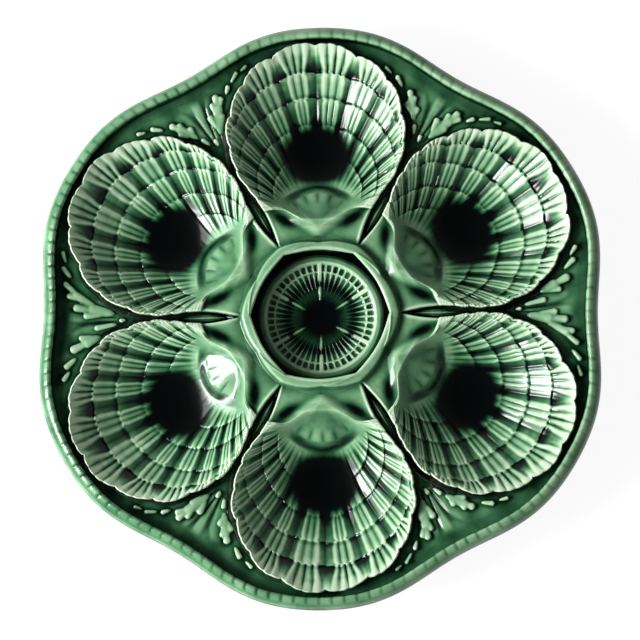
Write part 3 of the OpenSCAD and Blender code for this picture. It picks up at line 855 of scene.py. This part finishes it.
def cup_relief(r, a):
    """Height and extra glaze of the cup by radius and angle."""
    phase = (a * CUP_TICKS / 360) % 1
    from_rib = 0.5 - np.abs(phase - 0.5)
    pit_across = (0.5 - from_rib) / 0.36
    pit_along = (r - (PIT_IN + PIT_OUT) / 2) / ((PIT_OUT - PIT_IN) / 2)
    pit = 1 - step(0.45, 1.25, pit_across**4 + pit_along**4)
    rib_w = 0.2 * np.clip((r - WEDGE_IN) / (WEDGE_OUT - WEDGE_IN), 0, 1)
    wedge = step(WEDGE_IN - 3, WEDGE_IN + 2.5, r) * (1 - step(WEDGE_OUT - 0.3, WEDGE_OUT + 0.3, r))
    wedge = wedge * step(rib_w - 0.04, rib_w + 0.1, from_rib)

    off_spoke = np.radians(from_side(a) * HALF_SECTOR) * r
    spoke = (1 - step(0.03 * r, 0.4 + 0.04 * r, off_spoke)) * step(SPOKE_IN, SPOKE_IN + 0.9, r)
    spoke = spoke * (1 - step(PIT_OUT, PIT_OUT + 0.8, r))
    spindle = 1 - step(0.15, 0.4 + 0.6 * ridge(r, SPINDLE_OUT - 1.5, 3.5), off_spoke)
    spindle = spindle * step(SPINDLE_IN, SPINDLE_IN + 3, r)
    spindle = spindle * (1 - step(SPINDLE_OUT - 0.8, SPINDLE_OUT + 0.2, r))
    pit, wedge = pit * (1 - spoke), wedge * (1 - spoke)
    z = mix(CUP_FLOOR_Z, DISC_Z, (r / DISC_R) ** 1.7)
    z = z - PIT_DEEP * pit - WEDGE_DEEP * wedge + SPOKE_H * (spoke + spindle)
    z = z + 0.3 * ridge(r, PIT_OUT + 0.9, 0.6)

    streak = ridge(from_rib, 0, 0.16) * step(8, 12.5, r)
    uneven = 1 + 0.2 * np.sin(a * 0.19) + 0.15 * np.sin(a * 0.57 + 2)
    extra = (PIT_GLAZE * pit + WEDGE_GLAZE * wedge) * uneven + SPOKE_GLAZE * spoke + SPINDLE_GLAZE * spindle
    extra = extra + (MIDDLE_GLAZE - 0.1 * streak) * (1 - step(12.5, 19, r))
    extra = extra + CENTRE_GLAZE * (1 - step(2, 11, r)) + 0.14 * step(PIT_OUT + 1.1, PIT_OUT + 2, r)
    extra = extra - 0.1 * ridge(r, PIT_OUT + 0.9, 0.7) - 0.05 * ridge(r, PIT_IN - 0.4, 0.3)
    return z, extra - 0.08 * step(PIT_IN - 1, PIT_IN, r)


def cup_piece():
    a = np.arange(CUP_STATIONS) * 360 / CUP_STATIONS
    world = a + FIRST_ANGLE + LEAN
    inner = np.linspace(0.4, DISC_TOP_R, CUP_LINES)[:, None]
    z, extra = cup_relief(inner, a)
    edge = [(mix(DISC_TOP_R, DISC_EDGE_R, share), DISC_Z - drop) for share, drop in DISC_ROUND]
    edge += [
        (DISC_EDGE_R, CUP_GROOVE_Z + 0.3), (CUP_R, CUP_GROOVE_Z), (CUP_R, FLANGE_TOP_Z),
        (FLANGE_OUT_R, FLANGE_TOP_Z), (FLANGE_OUT_R, FLANGE_Z),
    ]
    edge += [(r, mix(CUP_UNDER_Z, FLANGE_Z, share)) for r, share in ((20, 0.7), (10, 0.35), (1, 0))]
    rings = [around(inner, world, z)] + [around(r, world, h)[None] for r, h in edge]
    grid = np.concatenate(rings)
    middles = [[0, 0, CUP_FLOOR_Z], [0, 0, CUP_UNDER_Z]]
    verts = np.concatenate([grid.reshape(-1, 3), middles])
    faces = grid_quads(len(grid), CUP_STATIONS, closed=True)
    top_middle = len(verts) - 2
    last = top_middle - CUP_STATIONS
    faces += centre_fan(range(CUP_STATIONS), top_middle)
    faces += centre_fan(range(last, top_middle), top_middle + 1)
    edge_glaze = [DISC_ROUND_GLAZE] * 3 + [GROOVE_LINE_GLAZE] * 2 + [0] * (len(edge) - 5)
    return verts, faces, np.concatenate([extra.ravel(), np.repeat(edge_glaze, CUP_STATIONS), [1, 0]])


def foot_piece():
    stations = 360
    half = FOOT_W / 2
    profile = [(-half, FOOT_H + 0.6)]
    for centre, start in ((FOOT_ROUND - half, 180), (half - FOOT_ROUND, 270)):
        for turn in range(start, start + 91, 15):
            profile.append((centre + FOOT_ROUND * cosd(turn), FOOT_ROUND * (1 + sind(turn))))
    profile.append((half, FOOT_H + 0.6))
    a = np.arange(stations) * 360 / stations
    verts = np.stack([around(FOOT_R + x, a, z) for x, z in profile], 1).reshape(-1, 3)
    return verts, ring_faces(stations, len(profile)), np.zeros(len(verts))


# Pods in the slots, pointed at both ends, with a keel between two grooves

POD_START = 38.5
POD_LEN = NECK_Y - 5 - POD_START
POD_STATIONS = 40
POD_H = 2.6
POD_CLEAR = 0.85
POD_HALF_SHARES = np.array([0.16, 0.28, 0.45, 0.66, 0.85, 0.97, 1])
POD_SHARES = np.concatenate([-POD_HALF_SHARES[::-1], [0], POD_HALF_SHARES])
POD_GLAZE = -0.04


def stem_piece(i):
    s = np.linspace(0, 1, POD_STATIONS)[:, None]
    y = POD_START + s * POD_LEN
    plump = np.sqrt(np.clip(np.sin(np.pi * (0.04 + 0.93 * s)), 0, 1))
    w = np.maximum(0.15, (slot_half(y) - POD_CLEAR) * plump)
    h = POD_H * (0.45 + 0.55 * np.sin(np.pi * np.clip(s * 1.25, 0, 1))) * (1 - 0.35 * s)
    dome = np.sqrt(np.clip(1 - POD_SHARES**2, 0, 1)) * 0.75
    keel = 0.3 * ridge(POD_SHARES, 0, 0.16) - 0.22 * ridge(np.abs(POD_SHARES), 0.32, 0.1)
    z = SLOT_Z + h * (dome + keel * (w > 0.6))
    top = np.stack(np.broadcast_arrays(y, w * POD_SHARES, z), -1)
    low = top[:, [-1, 0]].copy()
    low[..., 2] = SLOT_Z - 0.5
    loops = np.concatenate([top, low], 1)
    verts = turned(loops.reshape(-1, 3), gap_angle(i))
    return verts, tube_faces(POD_STATIONS, loops.shape[1]), np.full(len(verts), POD_GLAZE)


# Leaves: domed lobes joined by a fine remesh. Each row has a lobe's base (along, across), its tip
# (along, across) and its half width, in thousandths of the field's length

OPEN_LOBES = [
    (465, -90, 700, -190, 50), (520, -95, 655, -88, 34), (620, -150, 750, -165, 30),
    (660, -180, 800, -232, 36), (680, -200, 765, -272, 26), (500, -120, 620, -182, 40),
    (775, -334, 830, -390, 24), (850, -435, 905, -530, 22), (900, -570, 915, -645, 20),
    (545, 110, 720, 225, 44), (680, 200, 775, 275, 34), (660, 180, 745, 210, 30),
    (580, 130, 660, 140, 34), (600, 170, 665, 247, 32), (430, 50, 510, 85, 24),
    (385, -18, 445, -15, 23), (785, 365, 850, 455, 26), (855, 520, 880, 600, 20),
]
CLOSE_LOBES = [
    (430, -52, 640, -94, 56), (560, -80, 790, -112, 40), (520, -50, 700, -34, 34),
    (410, 45, 600, 85, 30), (600, -110, 800, -232, 42), (740, -185, 860, -228, 30),
    (760, -220, 900, -345, 30), (843, -404, 920, -500, 28), (894, -550, 925, -655, 24),
    (560, 160, 700, 225, 52), (640, 200, 820, 292, 40), (620, 163, 750, 182, 28),
    (799, 372, 890, 460, 30), (860, 500, 915, 585, 24), (324, 5, 372, 10, 20),
]
CLOSE_GAPS = (2, 5)
LEAF_H = 2.0
LEAF_CELL = 0.34
LEAF_GLAZE = 0.26
LOBE_SIDES = 16
LOBE_STATIONS = 14
LOBE_TIP = np.sin(np.linspace(0.2, 1.53, 7))


def leaf_lobe(row):
    """Closed domed capsule from base to tip, in the frame of a gap."""
    base_x, base_y, tip_x, tip_y, w = np.array(row) / 1000 * FIELD_LEN
    base = np.array([NECK_Y + base_x, base_y])
    way = np.array([NECK_Y + tip_x, tip_y]) - base
    length = norm(way)
    way = way / length
    beside = np.array([-way[1], way[0]])
    s = np.concatenate([np.linspace(0, length, LOBE_STATIONS), length + w * LOBE_TIP])
    along = np.clip(s / length, 0, 1)
    tip_cap = np.sqrt(np.clip(1 - np.maximum(0, (s - length) / w) ** 2, 0, 1))
    base_cap = np.sqrt(1 - (1 - np.clip(s / (1.6 * w), 0.02, 1)) ** 2)
    half = w * mix(0.66, 1.1, along) * tip_cap * base_cap
    tall = LEAF_H * mix(0.75, 1, along) * np.maximum(np.minimum(tip_cap, base_cap) ** 0.5, 0.15)
    a = np.linspace(0, 360, LOBE_SIDES, endpoint=False)
    centre = base + s[:, None] * way
    plan = centre[:, None] + (half[:, None] * cosd(a))[..., None] * beside
    up = sind(a)
    dome = tall[:, None] * np.clip(up, 0, 1) ** 0.55
    z = ground(plan[..., 0]) + np.where(up > 0, dome, 0.6 * up)
    verts = np.concatenate([plan, z[..., None]], -1).reshape(-1, 3)
    return verts, tube_faces(len(s), LOBE_SIDES)


def joined(verts, faces):
    """Points and faces of overlapping shells joined into one closed skin, by a scratch object."""
    mesh = bpy.data.meshes.new("lobes")
    mesh.from_pydata(verts.tolist(), [], faces)
    obj = new_object("lobes", mesh)
    join = obj.modifiers.new("join", "REMESH")
    join.mode = "VOXEL"
    join.voxel_size = LEAF_CELL
    soften = obj.modifiers.new("soften", "SMOOTH")
    soften.factor = 0.5
    soften.iterations = 7
    bpy.context.view_layer.update()
    done = obj.evaluated_get(bpy.context.evaluated_depsgraph_get()).to_mesh()
    points = np.zeros(len(done.vertices) * 3)
    done.vertices.foreach_get("co", points)
    out_faces = [list(p.vertices) for p in done.polygons]
    bpy.data.objects.remove(obj)
    return points.reshape(-1, 3), out_faces


def frond_piece(i):
    verts, faces, start = [], [], 0
    for row in CLOSE_LOBES if i in CLOSE_GAPS else OPEN_LOBES:
        v, f = leaf_lobe(row)
        verts.append(v)
        faces += [[k + start for k in face] for face in f]
        start += len(v)
    points, faces = joined(np.concatenate(verts), faces)
    lift = np.clip((points[:, 2] - ground(points[:, 0])) / LEAF_H, 0, 1)
    return turned(points, gap_angle(i)), faces, LEAF_GLAZE - 0.22 * lift


# Glaze depth: thick where the relief is low beside its surroundings, from a height map of the plate

MAP_HALF = 125.0
MAP_PITCH = 0.5
MAP_FILL = 0.7
UPPER_Z = 8.3
LOW_Z = 8
MIDDLE_R = 31
MIDDLE_LOW_Z = 9
MEAN_GLAZE = 0.3
UNDER_GLAZE = 0.45

# Reach of a blur in millimetres, and the glaze for each millimetre that a point lies under it.
# A piece counts no more than so many millimetres above or under it

CAVITY_SHARES = {0.8: 0.3, 2.2: 0.2, 6.0: 0.05}
LEAST_CAVITY = {"rim": -0.3, "other": -0.7}
MOST_CAVITY = {"body": 0.55, "cup": 0.5, "well": 0.5, "other": 3}


def height_map(points):
    """Height of the highest point in each cell of a map, and which cells are known."""
    n = int(2 * MAP_HALF / MAP_PITCH)
    cell = ((points[:, :2] + MAP_HALF) / MAP_PITCH).astype(int)
    z = np.full(n * n, -1.0)
    np.maximum.at(z, cell[:, 1] * n + cell[:, 0], points[:, 2])
    z = z.reshape(n, n)
    known = (z > 0).astype(float)
    height = np.where(z > 0, z, 0)
    share = blurred(known, MAP_FILL)
    filled = blurred(height, MAP_FILL) / np.maximum(share, 1e-3)
    inside = share > 0.05
    height = np.where(known > 0, height, np.where(inside, filled, 0))
    return height, np.maximum(known, inside)


def blurred(grid, sigma):
    n = grid.shape[0]
    f = np.fft.fftfreq(n, MAP_PITCH)[:, None] ** 2 + np.fft.rfftfreq(n, MAP_PITCH)[None, :] ** 2
    return np.fft.irfft2(np.fft.rfft2(grid) * np.exp(-2 * (np.pi * sigma) ** 2 * f), s=grid.shape)


def sampled(grid, p):
    x, y = ((p[:, :2] + MAP_HALF) / MAP_PITCH - 0.5).T
    x0, y0 = np.floor(x).astype(int), np.floor(y).astype(int)
    fx, fy = x - x0, y - y0
    low = mix(grid[y0, x0], grid[y0, x0 + 1], fx)
    high = mix(grid[y0 + 1, x0], grid[y0 + 1, x0 + 1], fx)
    return mix(low, high, fy)


# Materials


def ramp(tree, source, stops, target):
    """Smooth colour ramp between an output and an input."""
    node = tree.nodes.new("ShaderNodeValToRGB")
    node.color_ramp.interpolation = "B_SPLINE"
    items = node.color_ramp.elements
    while len(items) < len(stops):
        items.new(0.5)
    for item, (place, colour) in zip(items, stops):
        item.position = place
        item.color = (*colour, 1)
    tree.links.new(source, node.inputs["Fac"])
    tree.links.new(node.outputs["Color"], target)


GLAZE_STOPS = [
    (0.0, (0.72, 0.86, 0.66)),
    (0.2, (0.40, 0.65, 0.40)),
    (0.4, (0.14, 0.34, 0.17)),
    (0.58, (0.04, 0.15, 0.065)),
    (0.76, (0.006, 0.04, 0.016)),
    (0.9, (0.0015, 0.006, 0.004)),
    (1.0, (0.0005, 0.001, 0.0012)),
]
CLAY_STOPS = [(0.3, (0.52, 0.42, 0.30)), (0.7, (0.68, 0.58, 0.44))]
CLOUD_SHARE = 0.22
FLECK_SHARE = 0.12
MEAN_NOISE = (CLOUD_SHARE + FLECK_SHARE) / 2


def new_material(name):
    """A material with its node tree and shader."""
    mat = bpy.data.materials.new(name)
    mat.use_nodes = True
    return mat, mat.node_tree, mat.node_tree.nodes["Principled BSDF"]


def noise(tree, scale, detail):
    """Noise fixed to the plate, with a number of cells in a metre."""
    where = tree.nodes.new("ShaderNodeTexCoord")
    node = tree.nodes.new("ShaderNodeTexNoise")
    node.inputs["Scale"].default_value = scale
    node.inputs["Detail"].default_value = detail
    tree.links.new(where.outputs["Object"], node.inputs["Vector"])
    return node.outputs["Fac"]


def computed(tree, operation, *values):
    """Output of a math node whose inputs are numbers or other outputs."""
    node = tree.nodes.new("ShaderNodeMath")
    node.operation = operation
    for socket, value in zip(node.inputs, values):
        if isinstance(value, float):
            socket.default_value = value
        else:
            tree.links.new(value, socket)
    return node.outputs[0]


def add_bump(tree, shader, height, strength, distance):
    bump = tree.nodes.new("ShaderNodeBump")
    bump.inputs["Strength"].default_value = strength
    bump.inputs["Distance"].default_value = distance
    tree.links.new(height, bump.inputs["Height"])
    tree.links.new(bump.outputs["Normal"], shader.inputs["Normal"])


def glaze_material(name, shift):
    """Translucent green glaze: its colour follows the glaze depth kept on each vertex."""
    mat, tree, shader = new_material(name)
    depth = tree.nodes.new("ShaderNodeAttribute")
    depth.attribute_name = "glaze_depth"
    cloud = noise(tree, 55, 4)
    fleck = noise(tree, 420, 3)
    cloudy = computed(tree, "MULTIPLY_ADD", cloud, CLOUD_SHARE, depth.outputs["Fac"])
    flecked = computed(tree, "MULTIPLY_ADD", fleck, FLECK_SHARE, cloudy)
    place = computed(tree, "ADD", flecked, shift - MEAN_NOISE)
    ramp(tree, place, GLAZE_STOPS, shader.inputs["Base Color"])
    shader.inputs["Roughness"].default_value = 0.14
    shader.inputs["IOR"].default_value = 1.5
    add_bump(tree, shader, cloud, 0.08, 0.0006)
    return mat


def clay_material():
    mat, tree, shader = new_material("bare_clay")
    grain = noise(tree, 900, 2)
    ramp(tree, grain, CLAY_STOPS, shader.inputs["Base Color"])
    shader.inputs["Roughness"].default_value = 0.75
    add_bump(tree, shader, grain, 0.3, 0.0002)
    return mat


def add_piece(name, built, depth, node, slot, material):
    """Object of a piece, in metres, that takes the place of a node of the CAD plate."""
    verts, faces, _ = built
    mesh = bpy.data.meshes.new(name)
    mesh.from_pydata((verts * MM).tolist(), [], faces)
    mesh.materials.append(material)
    mesh.polygons.foreach_set("use_smooth", [True] * len(mesh.polygons))
    attribute = mesh.attributes.new("glaze_depth", "FLOAT", "POINT")
    attribute.data.foreach_set("value", depth.astype(np.float32))
    work = bmesh.new()
    work.from_mesh(mesh)
    bmesh.ops.recalc_face_normals(work, faces=work.faces)
    work.to_mesh(mesh)
    work.free()
    mesh.set_sharp_from_angle(angle=np.radians(60))
    obj = new_object(name, mesh)
    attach(obj, "root")
    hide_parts(node)


def glaze_depth(name, built, maps):
    """Glaze depth at each point of a piece, from how far it lies under its surroundings."""
    verts, _, extra = built
    kind = name.split("_")[0]
    least = LEAST_CAVITY.get(kind, LEAST_CAVITY["other"])
    most = MOST_CAVITY.get(kind, MOST_CAVITY["other"])
    depth = MEAN_GLAZE + extra
    for sigma, share in CAVITY_SHARES.items():
        depth = depth + share * np.clip(sampled(maps[sigma], verts) - verts[:, 2], least, most)
    in_middle = np.hypot(verts[:, 0], verts[:, 1]) < MIDDLE_R
    low = verts[:, 2] < np.where(in_middle, MIDDLE_LOW_Z, LOW_Z)
    return np.clip(np.where(low, UNDER_GLAZE, depth), 0, 1.1)


def build_plate():
    mint = glaze_material("mint_glaze", 0.0)
    green = glaze_material("green_glaze", 0.06)
    clay = clay_material()
    plan = [
        ("body", "plate_body", "green_glaze", green, body_piece()),
        ("rim", "rim_band", "green_glaze", green, rim_piece()),
        ("collar", "centre_collar", "mint_glaze", mint, collar_piece()),
        ("cup", "centre_cup", "mint_glaze", mint, cup_piece()),
        ("foot", "foot_ring", "bare_clay", clay, foot_piece()),
    ]
    for i in range(SHELLS):
        plan.append((f"well_{i + 1}", f"shell_{i + 1}", "mint_glaze", mint, shell_piece(i)))
        plan.append((f"pod_{i + 1}", f"stem_{i + 1}", "green_glaze", green, stem_piece(i)))
        plan.append((f"leaves_{i + 1}", f"frond_{i + 1}", "green_glaze", green, frond_piece(i)))
    upper = np.concatenate([built[0][built[0][:, 2] > UPPER_Z] for *_, built in plan])
    height, known = height_map(upper)
    maps = {}
    for sigma in CAVITY_SHARES:
        maps[sigma] = blurred(height * known, sigma) / np.maximum(blurred(known, sigma), 0.05)
    for name, node, slot, material, built in plan:
        add_piece(name, built, glaze_depth(name, built, maps), node, slot, material)


def area_light(name, azimuth, elevation, distance, width, height, radiance, colour=(1, 1, 1)):
    """Soft light at a direction from the plate, with its radiance."""
    data = bpy.data.lights.new(name, "AREA")
    data.shape = "RECTANGLE"
    data.size, data.size_y = width, height
    data.energy = radiance * np.pi * width * height
    data.color = colour
    obj = new_object(name, data)
    flat = cosd(elevation)
    way = Vector((flat * cosd(azimuth), flat * sind(azimuth), sind(elevation)))
    obj.location = way * distance
    obj.rotation_mode = "QUATERNION"
    obj.rotation_quaternion = way.to_track_quat("Z", "Y")


WINDOW = dict(azimuth=190, elevation=33, distance=0.9, width=0.85, height=0.55)
WINDOW_CORE = dict(azimuth=195, elevation=33, distance=0.85, width=0.34, height=0.36)
SKY_STOPS = [
    (0.0, (0.36, 0.36, 0.36)),
    (0.45, (0.2, 0.2, 0.2)),
    (0.8, (0.05, 0.05, 0.05)),
    (1.0, (0.02, 0.02, 0.022)),
]
FLOOR_HALF = 6.0
FLOOR_Z = -0.1 * MM
FLOOR_GLOW = 0.92


def build_light():
    """A window at the left with a bright core, under a dark studio that is paler near the floor."""
    area_light("window", radiance=4.7, colour=(1, 0.99, 0.97), **WINDOW)
    area_light("window_core", radiance=19, **WINDOW_CORE)
    world = bpy.data.worlds.new("studio")
    bpy.context.scene.world = world
    world.use_nodes = True
    tree = world.node_tree
    where = tree.nodes.new("ShaderNodeTexCoord")
    split = tree.nodes.new("ShaderNodeSeparateXYZ")
    tree.links.new(where.outputs["Generated"], split.inputs[0])
    sky = tree.nodes["Background"].inputs
    ramp(tree, split.outputs["Z"], SKY_STOPS, sky["Color"])
    sky["Strength"].default_value = 1.0


def build_floor():
    """White floor that looks lit, but sends little light of its own up under the plate."""
    signs = ((-1, -1), (1, -1), (1, 1), (-1, 1))
    mesh = bpy.data.meshes.new("floor")
    mesh.from_pydata([(x * FLOOR_HALF, y * FLOOR_HALF, FLOOR_Z) for x, y in signs], [], [(0, 1, 2, 3)])
    floor = new_object("floor", mesh)
    mat, tree, shader = new_material("floor_white")
    shader.inputs["Base Color"].default_value = (0.22, 0.22, 0.22, 1)
    shader.inputs["Roughness"].default_value = 0.9
    path = tree.nodes.new("ShaderNodeLightPath").outputs
    seen = computed(tree, "MAXIMUM", path["Is Camera Ray"], path["Is Glossy Ray"])
    seen = computed(tree, "MAXIMUM", seen, path["Is Transmission Ray"])
    shader.inputs["Emission Color"].default_value = (1, 1, 1, 1)
    tree.links.new(computed(tree, "MULTIPLY", seen, FLOOR_GLOW), shader.inputs["Emission Strength"])
    mesh.materials.append(mat)


CAMERA_PLACE = (27.7, -120.7, 850)
CAMERA_AIM = (-0.2, -1.5, 15)
CAMERA_ROLL = -0.62
FOCAL_PX = 2007
FRAME_PX = 640


def build_camera():
    """Camera a little in front of straight above, from a fit to the plate's lobes, wells and centre."""
    data = bpy.data.cameras.new("camera")
    data.sensor_width = 36
    data.lens = FOCAL_PX / FRAME_PX * data.sensor_width
    data.clip_end = 20
    cam = new_object("camera", data)
    place = Vector(CAMERA_PLACE) * MM
    back = (place - Vector(CAMERA_AIM) * MM).normalized()
    up = Vector((sind(CAMERA_ROLL), cosd(CAMERA_ROLL), 0))
    right = up.cross(back).normalized()
    up = back.cross(right)
    cam.location = place
    cam.rotation_mode = "QUATERNION"
    cam.rotation_quaternion = Matrix((right, up, back)).transposed().to_quaternion()
    bpy.context.scene.camera = cam


bpy.context.scene.view_settings.view_transform = "Standard"
build_plate()
build_light()
build_floor()
build_camera()
